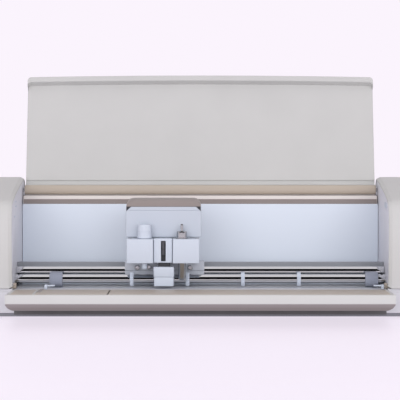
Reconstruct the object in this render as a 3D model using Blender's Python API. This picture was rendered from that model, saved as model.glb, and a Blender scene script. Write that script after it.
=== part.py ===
"""Desktop vinyl cutter: an end-to-end base tray, two end housings, a rear-hinged lid, a drop-down
front door, and a belt-driven tool carriage over a roller-fed platen.

Units are metres. +X is along the machine, +Z is up, and the front door faces -Y. The lid stands
open and the door lies open. Sizes below are in millimetres; `depth` counts backwards from the
front plane of the end housings, and is turned into Y by `y_of`.
"""
import math

import bmesh
import bpy
from mathutils import Matrix, Vector

MM = 0.001
GAP = 0.3                      # clearance between neighbouring pieces

# Whole machine
HALF_WIDTH = 280.0
FRONT_TO_MIDDLE = 52.24        # depth of the middle of the machine with lid and door open
BAY_HALF = 185.5               # inner face of each end housing
BASE_TOP = 28.4
HOUSING_BOTTOM = 28.7
WALL = 3.0                     # thickness of the housings' walls

# Lid: hinge axis, lean when open, slope when closed
LID_AXIS = (136.0, 120.3)
LID_LEAN = math.radians(18.0)
LID_LENGTH = 125.4
LID_SKIN = 13.2                # outer face's distance from the hinge axis
LID_HALF = 184.2
LID_BOW = 1.9                  # how far the middle of the front edge stands proud
BARREL_R = 5.0

# Front door
DOOR_AXIS = (2.0, 20.0)
DOOR_HALF = 185.0

# Shafts: (depth, height) of each axis
PINCH_AXIS = (38.5, 34.8)
PINCH_R = 5.1
PINCH_WHEEL_R = 7.75
STAR_R = 7.0
GUIDE_AXIS = (53.6, 41.7)
GUIDE_R = 5.0
ROLLER_AXIS = (38.5, 20.9)
ROLLER_R = 6.0
BELT_AXIS = (68.0, 41.5)
BELT_R = 6.5
PULLEY_X = 202.5
PLATEN_TOP = 27.0              # just above the drive roller's top and just under the wheels

# Feed gears
MODULE = 0.7
GEAR_TEETH = 36
PINION_TEETH = 12
GEAR_X = (196.0, 201.0)

# Carriage
CARRIAGE_X = -36.8
CARRIAGE_HALF = 37.9
TOOL_DEPTH = 25.3
TOOL_A_X = -55.7
TOOL_B_X = -18.4
TOOL_BORE_R = 5.8
LEVER_R = 2.1                  # half thickness of a clamp's lever, round its pin
LEVER_PIVOT_DEPTH = 21.6

# Control panel on the right housing's sloping top
PANEL_X = 237.0
PANEL_DEPTH = 68.5
PANEL_SLOPE = math.atan2(4.9, 39.0)
BUTTONS = ("button_power", "button_pause", "button_load", "button_go")
BUTTON_PITCH = 15.0
BUTTON_R = 5.5


def clear_scene():
    for item in list(bpy.data.objects):
        bpy.data.objects.remove(item, do_unlink=True)


def y_of(depth):
    """World Y in millimetres of a depth behind the housings' front plane."""
    return depth - FRONT_TO_MIDDLE


def material(name, colour, roughness, metallic=0.0):
    made = bpy.data.materials.get(name)
    if made is None:
        made = bpy.data.materials.new(name)
        made.use_nodes = True
        shader = made.node_tree.nodes["Principled BSDF"]
        shader.inputs["Base Color"].default_value = (*colour, 1.0)
        shader.inputs["Roughness"].default_value = roughness
        shader.inputs["Metallic"].default_value = metallic
    return made


CASING = material("warm_grey_casing", (0.58, 0.54, 0.54), 0.45)
CHAMPAGNE = material("champagne_casing", (0.45, 0.39, 0.35), 0.4)
BASE = material("pale_lilac_base", (0.62, 0.60, 0.68), 0.5)
WALL_GREY = material("cool_grey_wall", (0.38, 0.41, 0.47), 0.5)
BACK = material("pale_blue_panel", (0.62, 0.67, 0.76), 0.5)
WHITE = material("white_plastic", (0.85, 0.86, 0.90), 0.4)
DARK = material("dark_grey_plastic", (0.10, 0.11, 0.12), 0.5)
RUBBER = material("grey_rubber", (0.28, 0.30, 0.37), 0.8)
BLACK = material("black_rubber", (0.02, 0.02, 0.02), 0.8)
CHROME = material("chrome", (0.80, 0.80, 0.82), 0.12, 1.0)
STEEL = material("steel", (0.55, 0.55, 0.57), 0.35, 1.0)
ALUMINIUM = material("aluminium", (0.70, 0.71, 0.73), 0.35, 1.0)
BOARD = material("green_board", (0.03, 0.18, 0.08), 0.5)


def place(name, mesh, finish, origin=(0.0, 0.0, 0.0)):
    """Link a mesh built in world millimetres as an object whose origin is at `origin`."""
    mesh.transform(Matrix.Scale(MM, 4) @ Matrix.Translation(-Vector(origin)))
    mesh.materials.clear()
    mesh.materials.append(finish)
    mesh.shade_smooth()
    mesh.set_sharp_from_angle(angle=math.radians(35))
    made = bpy.data.objects.new(name, mesh)
    made.location = Vector(origin) * MM
    bpy.context.collection.objects.link(made)
    return made


def mesh_from(bm, name):
    bmesh.ops.recalc_face_normals(bm, faces=bm.faces)
    mesh = bpy.data.meshes.new(name)
    bm.to_mesh(mesh)
    bm.free()
    return mesh


def loft(name, stations, finish, origin=(0.0, 0.0, 0.0)):
    """A closed skin through equal-length rings of world points, capped at both ends."""
    bm = bmesh.new()
    rings = [[bm.verts.new(point) for point in ring] for ring in stations]
    for first, second in zip(rings, rings[1:]):
        for index in range(len(first)):
            after = (index + 1) % len(first)
            bm.faces.new((first[index], first[after], second[after], second[index]))
    bm.faces.new(rings[0])
    bm.faces.new(rings[-1])
    return place(name, mesh_from(bm, name), finish, origin)


def prism_x(name, outline, x_low, x_high, finish, origin=(0.0, 0.0, 0.0)):
    """A (depth, height) outline extruded along X."""
    rings = [[(x, y_of(d), z) for d, z in outline] for x in (x_low, x_high)]
    return loft(name, rings, finish, origin)


def prism_z(name, outline, z_low, z_high, finish, origin=(0.0, 0.0, 0.0)):
    """An (x, depth) outline extruded upwards."""
    rings = [[(x, y_of(d), z) for x, d in outline] for z in (z_low, z_high)]
    return loft(name, rings, finish, origin)


def box(name, x_span, d_span, z_span, finish, bevel=0.0):
    """A block between two corners, with an optional small bevel on every edge."""
    bm = bmesh.new()
    bmesh.ops.create_cube(bm, size=1.0)
    spans = (x_span, tuple(y_of(d) for d in d_span), z_span)
    for vert in bm.verts:
        vert.co = [(low + high) / 2 + co * (high - low) for co, (low, high) in zip(vert.co, spans)]
    if bevel:
        bmesh.ops.bevel(bm, geom=bm.edges[:], offset=bevel, segments=1, profile=0.5, affect="EDGES")
    return place(name, mesh_from(bm, name), finish)


def ring_points(radius, segments):
    return [(radius * math.cos(2 * math.pi * step / segments),
             radius * math.sin(2 * math.pi * step / segments)) for step in range(segments)]


def turned(name, profile, centre, axis, finish, segments=20):
    """A solid of revolution: `profile` is (distance along axis, radius), from end to end."""
    places = {"X": lambda t, a, b: (t, y_of(centre[0] + a), centre[1] + b),
              "Y": lambda t, a, b: (centre[0] + a, y_of(t), centre[1] + b),
              "Z": lambda t, a, b: (centre[0] + a, y_of(centre[1] + b), t)}
    rings = [[places[axis](t, a, b) for a, b in ring_points(r, segments)] for t, r in profile]
    middle = {"X": (0.0, y_of(centre[0]), centre[1]),
              "Y": (centre[0], y_of(profile[0][0]), centre[1]),
              "Z": (centre[0], y_of(centre[1]), profile[0][0])}[axis]
    return loft(name, rings, finish, middle)


def cut(target, cutter):
    """Take a hidden cutter away from a piece."""
    cutter.hide_render = True
    cutter.display_type = "WIRE"
    step = target.modifiers.new("cut_" + cutter.name, "BOOLEAN")
    step.operation = "DIFFERENCE"
    step.solver = "EXACT"
    step.object = cutter


def join(target, added):
    """Unite a hidden helper solid with a piece."""
    added.hide_render = True
    added.display_type = "WIRE"
    step = target.modifiers.new("join_" + added.name, "BOOLEAN")
    step.operation = "UNION"
    step.solver = "EXACT"
    step.object = added


def cut_bore(target, label, axis, centre, radius, span, segments=20):
    cut(target, turned("cut_" + label, [(span[0], radius), (span[1], radius)],
                       centre, axis, STEEL, segments))


def toward(outline, middle, factor):
    return [(middle[0] + (a - middle[0]) * factor, middle[1] + (b - middle[1]) * factor)
            for a, b in outline]


def rounded_rectangle(half_x, d_low, d_high, radius, segments=4):
    """An (x, depth) rectangle with quarter-circle corners."""
    corners = ((half_x - radius, d_high - radius, 0.0), (-half_x + radius, d_high - radius, 0.5),
               (-half_x + radius, d_low + radius, 1.0), (half_x - radius, d_low + radius, 1.5))
    points = []
    for x, d, turn in corners:
        for step in range(segments + 1):
            angle = math.pi * (turn + 0.5 * step / segments)
            points.append((x + radius * math.cos(angle), d + radius * math.sin(angle)))
    return points


# Base: a tray with a shoulder under the housings and a stepped band above the feet.
def base():
    levels = ((1.0, 1.8), (3.8, 1.6), (4.2, 0.5), (5.4, 0.0), (24.7, 0.0), (26.6, 1.6), (BASE_TOP, 1.6))
    rings = []
    for z, inset in levels:
        outline = rounded_rectangle(278.5 - inset, 2.5 + inset, 160.5 - inset, 14.0 - inset)
        rings.append([(x, y_of(d), z) for x, d in outline])
    tray = loft("base_tray", rings, BASE)
    cut(tray, box("cut_tray_inside", (-274.5, 274.5), (15.0, 156.0), (4.4, 40.0), BASE))
    cut(tray, box("cut_door_notch", (-186.0, 186.0), (-10.0, 12.0), (13.2, 40.0), BASE))
    cut(tray, box("cut_bay_floor_seat", (-186.0, 186.0), (-10.0, 170.0), (24.1, 40.0), BASE))
    cut_bore(tray, "door_rod_seats", "X", DOOR_AXIS, 2.3, (-192.0, 192.0), 12)
    for number, (x, depth) in enumerate(((-250, 24), (250, 24), (-250, 138), (250, 138)), 1):
        turned(f"foot_{number}", [(0.0, 8.0), (0.7, 8.5)], (x, depth), "Z", BLACK, 16)
    board = box("main_board", (60.0, 172.0), (70.0, 140.0), (9.0, 10.6), BOARD)
    for number, (x, depth, tall) in enumerate(((90, 95, 3.0), (125, 110, 5.0), (155, 90, 9.0))):
        join(board, box(f"join_chip_{number}", (x - 9.0, x + 9.0), (depth - 8.0, depth + 8.0),
                        (10.0, 10.6 + tall), DARK))


# End housings: hollow shells, open towards the bay and the tray, rounded at their outer ends.
HOUSING_OUTLINE = [(1.5, HOUSING_BOTTOM), (-1.5, 42.0), (-4.5, 60.0), (-5.6, 78.0), (-4.6, 96.0),
                   (-1.6, 107.0), (4.0, 113.6), (15.0, 117.5), (49.0, 123.4), (88.0, 128.3),
                   (132.0, 133.1), (144.0, 133.3), (153.0, 129.5), (159.0, 121.0), (161.5, 108.0),
                   (162.0, 90.0), (162.0, HOUSING_BOTTOM)]
HOUSING_MIDDLE = 80.0


def inset_outline(outline, distance):
    """Move each side of a clockwise outline inwards by one distance."""
    count = len(outline)
    points = []
    for index in range(count):
        before, here, after = (Vector(outline[(index + k) % count]) for k in (-1, 0, 1))
        first, second = (here - before).normalized(), (after - here).normalized()
        normal_a, normal_b = Vector((first.y, -first.x)), Vector((second.y, -second.x))
        bisector = (normal_a + normal_b).normalized()
        points.append(tuple(here + bisector * distance / bisector.dot(normal_a)))
    return points


def housing(side):
    name = "left" if side < 0 else "right"
    stations = ((BAY_HALF, 1.0), (258.0, 1.0), (269.0, 0.985), (276.5, 0.945), (HALF_WIDTH, 0.88))
    rings = []
    for x, factor in stations:
        outline = toward(HOUSING_OUTLINE, (HOUSING_MIDDLE, HOUSING_BOTTOM), factor)
        rings.append([(side * x, y_of(d), z) for d, z in outline])
    shell = loft(name + "_housing", rings, CASING)
    hollow = inset_outline(HOUSING_OUTLINE, WALL)
    hollow[0], hollow[-1] = (hollow[0][0], 20.0), (hollow[-1][0], 20.0)
    inner = [[(side * x, y_of(d), z) for d, z in toward(hollow, (HOUSING_MIDDLE, 20.0), factor)]
             for x, factor in ((BAY_HALF - 5.0, 1.0), (256.0, 1.0), (272.0, 0.965))]
    cut(shell, loft(f"cut_{name}_inside", inner, CASING))

    wall_outline = inset_outline(HOUSING_OUTLINE, WALL + GAP)
    wall_outline[0], wall_outline[-1] = (wall_outline[0][0], 29.2), (wall_outline[-1][0], 29.2)
    span = sorted((side * (BAY_HALF + 0.8), side * (BAY_HALF + 3.3)))
    wall = prism_x(name + "_inner_wall", wall_outline, span[0], span[1], WALL_GREY)
    reach = (span[0] - 5.0, span[1] + 5.0)
    cut_bore(wall, name + "_shaft_hole", "X", PINCH_AXIS, PINCH_R + GAP, reach)
    cut(wall, box(f"cut_{name}_belt_slot", reach, (63.5, 72.5), (33.0, 50.0), STEEL))
    return shell


def control_panel(shell):
    """Sloping button plate let into the right housing, with four push buttons."""
    height = 123.4 + (PANEL_DEPTH - 49.0) * math.tan(PANEL_SLOPE)
    seat = bpy.data.objects.new("panel_seat", None)
    seat.location = Vector((PANEL_X, y_of(PANEL_DEPTH), height)) * MM
    seat.rotation_euler = (PANEL_SLOPE, 0.0, 0.0)
    bpy.context.collection.objects.link(seat)

    def on_seat(item):
        item.parent = seat
        return item

    middle = FRONT_TO_MIDDLE
    recess = on_seat(box("cut_panel_recess", (-31.3, 31.3), (middle - 14.3, middle + 14.3),
                         (-6.0, 6.0), CASING))
    cut(shell, recess)
    plate = on_seat(box("control_panel", (-31.0, 31.0), (middle - 14.0, middle + 14.0),
                        (-2.0, 0.4), CHAMPAGNE, bevel=0.3))
    for index, name in enumerate(BUTTONS):
        x = (index - 1.5) * BUTTON_PITCH
        bore = turned("cut_hole_" + name, [(-6.0, BUTTON_R + GAP), (6.0, BUTTON_R + GAP)],
                      (x, middle), "Z", CASING, 20)
        cut(plate, on_seat(bore))
        on_seat(turned(name, [(-3.4, BUTTON_R), (1.2, BUTTON_R), (1.6, BUTTON_R - 0.5)],
                       (x, middle), "Z", WHITE, 20))


def rear_sockets(shell):
    """Power inlet and data port, let into the right housing's back wall."""
    sockets = (("power_inlet", 222.0, 42.0, 8.0, 6.0, 3.6), ("data_port", 243.0, 42.0, 5.6, 4.6, 2.6))
    for name, x, z, half_x, half_z, mouth in sockets:
        d_span = (149.0, 162.4)
        hole = box("cut_hole_" + name, (x - half_x - GAP, x + half_x + GAP), (140.0, 170.0),
                   (z - half_z - GAP, z + half_z + GAP), DARK)
        cut(shell, hole)
        socket = box(name, (x - half_x, x + half_x), d_span, (z - half_z, z + half_z), DARK, bevel=0.4)
        if name == "power_inlet":
            cut_bore(socket, "inlet_mouth", "Y", (x, z), mouth, (152.0, 170.0), 16)
        else:
            cut(socket, box("cut_port_mouth", (x - 4.2, x + 4.2), (152.0, 170.0),
                            (z - mouth, z + mouth), DARK))


# Fixed bay: platen halves either side of the drive roller, beam, rod, back panel, bridge, cover.
def bay():
    front_end = ROLLER_AXIS[0] - ROLLER_R - 0.6
    box("platen_front", (-185.0, 185.0), (12.0, front_end), (24.4, PLATEN_TOP), BACK)
    rear_start = ROLLER_AXIS[0] + ROLLER_R + 0.6
    box("platen_rear", (-185.0, 185.0), (rear_start, 156.5), (24.4, PLATEN_TOP), BACK)
    beam = [(60.3, 30.0), (62.8, 30.0), (62.8, 49.0), (63.8, 49.4), (63.8, 50.5), (60.3, 50.5)]
    prism_x("carriage_beam", beam, -186.0, 186.0, DARK)
    turned("guide_rod", [(-186.0, GUIDE_R), (186.0, GUIDE_R)], GUIDE_AXIS, "X", CHROME, 24)
    box("back_panel", (-185.0, 185.0), (125.0, 127.2), (38.5, 106.0), BACK)
    bridge = [(127.6, 104.5), (129.4, 104.5), (129.4, 111.4), (151.2, 111.4), (151.2, 114.4),
              (128.4, 114.4), (127.6, 113.6)]
    prism_x("rear_bridge", bridge, -185.2, 185.2, WHITE)
    cover = [(158.7, 38.3), (161.2, 38.3), (161.6, 100.0), (160.2, 109.0), (156.0, 113.8),
             (151.5, 114.8), (151.5, 112.3), (154.8, 111.4), (157.9, 107.6), (159.1, 100.0)]
    prism_x("rear_cover", cover, -185.2, 185.2, CASING)
    for side, x in ((-1, -153.4), (1, 181.0)):
        post = (x - 1.4, x + 1.4)
        arm = (x + 1.0, x + 9.0) if side < 0 else (x - 9.0, x - 1.0)
        name = "mat_guide_left" if side < 0 else "mat_guide_right"
        guide = box(name, post, (12.4, 16.0), (PLATEN_TOP + GAP, 31.8), WHITE)
        join(guide, box("join_arm_" + name, arm, (13.4, 15.6), (30.0, 31.4), WHITE))


# Mat feed: drive roller, reduction gears and motor.
def gear_outline(teeth, turn):
    """Straight-sided teeth between root and tip circles, thinned for running clearance."""
    pitch = MODULE * teeth / 2
    root, tip = pitch - 1.15 * MODULE, pitch + 0.8 * MODULE
    points = []
    for tooth in range(teeth):
        middle = turn + 2 * math.pi * tooth / teeth
        for radius, half in ((root, 0.40), (pitch, 0.215), (tip, 0.09), (tip, -0.09),
                             (pitch, -0.215), (root, -0.40)):
            angle = middle - half * 2 * math.pi / teeth
            points.append((radius * math.cos(angle), radius * math.sin(angle)))
    return points


def gear_solid(name, teeth, centre, x_span, turn, finish):
    outline = [(centre[0] + a, centre[1] + b) for a, b in gear_outline(teeth, turn)]
    return prism_x(name, outline, x_span[0], x_span[1], finish,
                   (x_span[0], y_of(centre[0]), centre[1]))


def feed_drive():
    turned("drive_roller", [(-183.0, 3.0), (-179.0, 3.0), (-179.0, ROLLER_R), (179.0, ROLLER_R),
                            (179.0, 3.0), (206.0, 3.0)], ROLLER_AXIS, "X", RUBBER, 20)
    gear = gear_solid("feed_gear", GEAR_TEETH, ROLLER_AXIS, GEAR_X, 0.0, WHITE)
    cut_bore(gear, "gear_bore", "X", ROLLER_AXIS, 3.0 + GAP, (190.0, 210.0), 16)
    centres = MODULE * (GEAR_TEETH + PINION_TEETH) / 2
    mesh_angle = 2 * math.pi * 5 / GEAR_TEETH
    pinion_axis = (ROLLER_AXIS[0] + centres * math.cos(mesh_angle),
                   ROLLER_AXIS[1] + centres * math.sin(mesh_angle))
    turn = mesh_angle + math.pi + math.pi / PINION_TEETH
    pinion = gear_solid("feed_pinion", PINION_TEETH, pinion_axis, GEAR_X, turn, STEEL)
    cut_bore(pinion, "pinion_bore", "X", pinion_axis, 1.0 + GAP, (190.0, 210.0), 12)
    turned("feed_motor", [(198.0, 1.0), (203.0, 1.0), (203.0, 11.0), (236.0, 11.0)],
           pinion_axis, "X", STEEL, 20)


# Pinch shaft with its grey pinch wheels, and the star wheels that slide along it.
def pinch_group():
    turned("pinch_shaft", [(-190.0, PINCH_R), (190.0, PINCH_R)], PINCH_AXIS, "X", CHROME, 24)
    for name, x in (("pinch_wheel_left", -144.7), ("pinch_wheel_right", 171.9)):
        wheel = turned(name, [(x - 6.5, 6.9), (x - 5.8, PINCH_WHEEL_R), (x + 5.8, PINCH_WHEEL_R),
                              (x + 6.5, 6.9)], PINCH_AXIS, "X", RUBBER, 24)
        cut_bore(wheel, "bore_" + name, "X", PINCH_AXIS, PINCH_R + GAP, (x - 10.0, x + 10.0), 24)
    for number, x in enumerate((-68.8, -12.8, 42.7, 98.9), 1):
        outline = []
        for point in range(24):
            radius = STAR_R if point % 2 == 0 else STAR_R - 0.8
            angle = math.pi * point / 12
            outline.append((PINCH_AXIS[0] + radius * math.cos(angle),
                            PINCH_AXIS[1] + radius * math.sin(angle)))
        star = prism_x(f"star_wheel_{number}", outline, x - 1.9, x + 1.9, WHITE,
                       (x, y_of(PINCH_AXIS[0]), PINCH_AXIS[1]))
        cut_bore(star, f"bore_star_{number}", "X", PINCH_AXIS, PINCH_R + GAP, (x - 6.0, x + 6.0), 24)


# Carriage drive: motor, two pulleys and the toothed belt round them.
def belt_drive():
    for name, x in (("motor_pulley", PULLEY_X), ("idler_pulley", -PULLEY_X)):
        pulley = turned(name, [(64.6, 7.8), (65.2, 7.8), (65.2, 6.0), (70.8, 6.0), (70.8, 7.8),
                               (71.4, 7.8)], (x, BELT_AXIS[1]), "Y", ALUMINIUM, 20)
        cut_bore(pulley, "bore_" + name, "Y", (x, BELT_AXIS[1]), 1.5 + GAP, (60.0, 80.0), 12)
    turned("carriage_motor", [(66.0, 1.5), (73.0, 1.5), (73.0, 12.0), (108.0, 12.0)],
           (PULLEY_X, BELT_AXIS[1]), "Y", STEEL, 20)
    loops = []
    for radius in (BELT_R + 0.8, BELT_R - 0.2):
        loop = []
        for end, start in ((PULLEY_X, -math.pi / 2), (-PULLEY_X, math.pi / 2)):
            for step in range(12):
                angle = start + math.pi * step / 11
                loop.append((end + radius * math.cos(angle), BELT_AXIS[1] + radius * math.sin(angle)))
        loops.append(loop)
    bm = bmesh.new()
    corners = [[[bm.verts.new((x, y_of(d), z)) for x, z in loop] for loop in loops]
               for d in (65.6, 70.4)]
    for index in range(24):
        after = (index + 1) % 24
        front, back = corners
        bm.faces.new((front[0][index], front[0][after], front[1][after], front[1][index]))
        bm.faces.new((back[0][index], back[1][index], back[1][after], back[0][after]))
        for layer in (0, 1):
            bm.faces.new((front[layer][index], back[layer][index],
                          back[layer][after], front[layer][after]))
    place("carriage_belt", mesh_from(bm, "carriage_belt"), BLACK)


# Lid: skin, curled front lip and root in one section that is carried along X round the hinge rod.
def lid_point(x, u, n):
    """World point from distance u along the open lid and n outwards from its hinge axis."""
    depth = LID_AXIS[0] + u * math.sin(LID_LEAN) + n * math.cos(LID_LEAN)
    height = LID_AXIS[1] + u * math.cos(LID_LEAN) - n * math.sin(LID_LEAN)
    return (x, y_of(depth), height)


def lid_front(x):
    """Length of the lid at one place across it: a shallow parabola."""
    return LID_LENGTH + LID_BOW * (1 - (x / LID_HALF) ** 2)


def lid():
    axis_point = (0.0, y_of(LID_AXIS[0]), LID_AXIS[1])
    inner_skin = LID_SKIN - 2.2
    barrel = [(BARREL_R * math.cos(math.radians(a)), BARREL_R * math.sin(math.radians(a)))
              for a in range(150, 361, 30)]
    rings = []
    for step in range(9):
        x = LID_HALF * (step / 4 - 1)
        front = lid_front(x)
        ring = [(front - 5.7, 1.2), (front - 0.8, 1.2), (front, 2.0), (front, 10.4),
                (front - 0.8, 12.4), (front - 2.6, LID_SKIN), (10.0, LID_SKIN), (4.0, 12.2),
                (-0.6, 9.0)]
        ring += barrel
        ring += [(5.6, 2.6), (6.6, 7.0), (8.6, 10.2), (11.5, inner_skin), (front - 5.7, inner_skin)]
        rings.append([lid_point(x, u, n) for u, n in ring])
    shell = loft("lid_shell", rings, CASING, axis_point)
    cut_bore(shell, "lid_rod_bore", "X", LID_AXIS, 2.0 + GAP, (-190.0, 190.0), 12)
    rings = []
    for step in range(9):
        x = (LID_HALF - 0.8) * (step / 4 - 1)
        front = lid_front(x) - 6.1
        ring = [(13.0, inner_skin - GAP), (front, inner_skin - GAP), (front, inner_skin - 1.5),
                (13.0, inner_skin - 1.5)]
        rings.append([lid_point(x, u, n) for u, n in ring])
    loft("lid_liner", rings, CASING, axis_point)
    turned("lid_hinge_rod", [(-186.0, 2.0), (186.0, 2.0)], LID_AXIS, "X", STEEL, 12)


# Front door: a hollow shell with a raised lip, closed above by two panels. It turns on a rod.
def door_point(x, forward, rise):
    """World point from distance forward of the hinge axis and height above it."""
    return (x, y_of(DOOR_AXIS[0] - forward), DOOR_AXIS[1] + rise)


def door():
    axis_point = (0.0, y_of(DOOR_AXIS[0]), DOOR_AXIS[1])
    outline = [(-3.0, 6.6), (-4.6, 0.0), (-3.2, -3.6), (0.0, -5.0), (8.0, -7.3), (22.0, -8.6),
               (40.0, -8.5), (58.0, -6.3), (72.0, -2.6), (81.0, 0.6), (84.0, 2.4), (84.6, 6.5),
               (84.2, 9.6), (82.8, 10.9), (80.8, 10.9), (80.8, 10.4), (-1.0, 8.4)]
    rings = []
    for x, drop in ((-DOOR_HALF, 0.55), (-182.5, 0.85), (-176.0, 1.0), (176.0, 1.0), (182.5, 0.85),
                    (DOOR_HALF, 0.55)):
        ring = [(f, r * drop if r < 0 else r) for f, r in outline]
        rings.append([door_point(x, f, r) for f, r in ring])
    shell = loft("door_shell", rings, CASING, axis_point)
    hollow = [(6.5, 12.5), (6.5, -4.4), (22.0, -6.2), (40.0, -6.2), (57.0, -4.0), (70.0, -0.6),
              (78.0, 3.0), (80.5, 6.0), (80.5, 12.5)]
    rings = [[door_point(x, f, r) for f, r in hollow] for x in (-182.0, 182.0)]
    cut(shell, loft("cut_door_inside", rings, CASING))
    cut_bore(shell, "door_rod_bore", "X", DOOR_AXIS, 2.0 + GAP, (-190.0, 190.0), 12)
    turned("door_hinge_rod", [(-189.0, 2.0), (189.0, 2.0)], DOOR_AXIS, "X", STEEL, 12)
    for name, x_span in (("door_panel_left", (-181.6, -88.9)), ("door_panel_right", (-88.3, 181.6))):
        ring = [(6.9, 8.6), (6.9, 6.9), (80.1, 8.6), (80.1, 10.3)]
        rings = [[door_point(x, f, r) for f, r in ring] for x in x_span]
        loft(name, rings, CHAMPAGNE, axis_point)


# Carriage: body on the guide rod and belt, cover, cap, tool guide and sensor housing.
def carriage():
    outline = [(35.5, 52.4), (45.0, 52.4), (45.0, 43.8), (46.9, 43.8), (46.9, 35.0), (59.9, 35.0),
               (59.9, 50.9), (64.2, 50.9), (64.2, 49.1), (71.8, 49.1), (71.8, 54.0), (64.5, 56.0),
               (62.0, 60.0), (62.0, 104.0), (60.0, 105.8), (35.5, 105.8)]
    body = prism_x("carriage_body", outline, -72.6, -1.0, WHITE)
    join(body, box("join_bracket", (-76.0, 4.0), (45.1, 59.7), (43.1, 51.4), WHITE))
    cut_bore(body, "carriage_bearing", "X", GUIDE_AXIS, GUIDE_R + GAP, (-90.0, 20.0), 24)

    left, right = CARRIAGE_X - CARRIAGE_HALF, CARRIAGE_X + CARRIAGE_HALF
    cover = box("carriage_cover", (left, right), (33.2, 62.6), (77.4, 108.0), WHITE, bevel=1.2)
    cut(cover, box("cut_cover_inside", (-73.0, -0.6), (35.2, 70.0), (70.0, 106.2), WHITE))

    section = [(33.8, 108.3), (33.8, 109.6), (36.0, 111.6), (40.0, 113.7), (46.0, 115.3),
               (54.0, 116.0), (61.6, 116.0), (61.6, 108.3)]
    edges = [(left + inset, rise) for inset, rise in ((0.6, 0.1), (1.4, 0.45), (4.0, 0.8), (9.0, 1.0))]
    edges += [(CARRIAGE_X * 2 - x, rise) for x, rise in reversed(edges)]
    stations = [[(x, y_of(d), 108.3 + (z - 108.3) * rise) for d, z in section] for x, rise in edges]
    loft("carriage_cap", stations, CHAMPAGNE)

    guide = box("tool_guide", (-46.0, -28.6), (19.6, 35.1), (53.0, 77.0), WHITE, bevel=0.6)
    cut(guide, box("cut_guide_slot", (-39.0, -34.6), (10.0, 24.0), (54.5, 74.5), WHITE))
    sensor = box("sensor_housing", (-46.6, -26.0), (16.6, 29.2), (29.8, 49.0), WHITE, bevel=0.8)
    join(sensor, box("join_sensor_neck", (-42.0, -30.0), (22.0, 28.0), (48.0, 52.6), WHITE))


def clamp(letter, tool_x, inner, outer):
    """Tool clamp: a block round the tool, whose front plate hides a lever on a vertical pin. The
    plate runs past the block from its inner side to its outer edge, over the lever."""
    side = 1 if outer > inner else -1
    edge = outer - side * (2 * LEVER_R + GAP)
    outline = [(inner, 17.0), (inner + side * 0.8, 16.2), (outer - side * 0.8, 16.2), (outer, 17.0),
               (outer, 19.2), (edge, 19.2), (edge, 34.8), (inner, 34.8)]
    block = prism_z(f"clamp_{letter}_holder", outline, 52.6, 76.8, WHITE)
    cut_bore(block, f"clamp_{letter}", "Z", (tool_x, TOOL_DEPTH), TOOL_BORE_R, (40.0, 90.0), 24)
    pivot = (edge + side * (LEVER_R + GAP), LEVER_PIVOT_DEPTH)
    outline = [(pivot[0] + LEVER_R * math.cos(math.radians(a)),
                pivot[1] + LEVER_R * math.sin(math.radians(a))) for a in range(180, 361, 20)]
    outline += [(pivot[0] + LEVER_R, 32.0), (pivot[0] + 1.0, 34.6), (pivot[0] - 1.0, 34.6),
                (pivot[0] - LEVER_R, 32.0)]
    prism_z(f"clamp_{letter}_lever", outline, 55.0, 75.0, WHITE, (pivot[0], y_of(pivot[1]), 55.0))


def tools():
    clamp("a", TOOL_A_X, -46.9, -73.4)
    clamp("b", TOOL_B_X, -27.4, -0.9)
    turned("pen_adapter", [(46.0, 1.6), (47.0, 2.6), (52.2, 2.6), (52.9, 5.4), (77.2, 5.4),
                           (77.2, 7.0), (79.0, 7.2), (90.2, 6.5), (91.0, 5.9)],
           (TOOL_A_X, TOOL_DEPTH), "Z", WHITE, 20)
    blade = turned("blade_housing", [(35.0, 1.6), (36.6, 3.75), (52.2, 3.75), (53.2, 5.4),
                                     (77.2, 5.4), (77.2, 6.4), (78.6, 6.4), (79.0, 5.1),
                                     (83.4, 4.6), (84.2, 4.0)],
                   (TOOL_B_X, TOOL_DEPTH), "Z", STEEL, 20)
    cut_bore(blade, "plunger_bore", "Z", (TOOL_B_X, TOOL_DEPTH), 1.35 + GAP, (60.0, 95.0), 12)
    turned("blade_plunger", [(64.0, 1.35), (90.8, 1.35), (91.5, 0.9)], (TOOL_B_X, TOOL_DEPTH),
           "Z", STEEL, 12)


clear_scene()
base()
housing(-1)
right_shell = housing(1)
control_panel(right_shell)
rear_sockets(right_shell)
bay()
feed_drive()
pinch_group()
belt_drive()
lid()
door()
carriage()
tools()
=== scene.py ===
"""Looks of a desktop vinyl cutter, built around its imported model, piece by piece.

Points are worked out in millimetres as (x, depth, height), where depth counts backwards from the
front plane of the end housings; `add_piece` turns them into metres in the model's own frame.
"""

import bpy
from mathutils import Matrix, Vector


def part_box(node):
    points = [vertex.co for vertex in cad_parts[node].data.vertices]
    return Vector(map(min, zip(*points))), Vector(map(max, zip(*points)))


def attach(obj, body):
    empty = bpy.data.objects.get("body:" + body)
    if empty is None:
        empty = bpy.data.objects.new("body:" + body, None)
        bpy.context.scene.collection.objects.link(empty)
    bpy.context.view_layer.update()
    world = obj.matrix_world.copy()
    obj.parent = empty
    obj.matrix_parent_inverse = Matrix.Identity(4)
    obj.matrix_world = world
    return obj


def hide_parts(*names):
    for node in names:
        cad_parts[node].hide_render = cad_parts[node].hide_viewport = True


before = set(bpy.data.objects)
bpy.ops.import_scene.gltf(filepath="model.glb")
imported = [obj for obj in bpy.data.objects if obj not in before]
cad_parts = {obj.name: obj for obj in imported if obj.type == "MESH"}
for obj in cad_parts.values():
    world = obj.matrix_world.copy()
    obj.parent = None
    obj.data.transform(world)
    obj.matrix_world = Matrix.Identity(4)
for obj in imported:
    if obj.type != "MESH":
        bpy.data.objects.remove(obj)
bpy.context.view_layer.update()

import math

import bpy
import numpy as np


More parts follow.
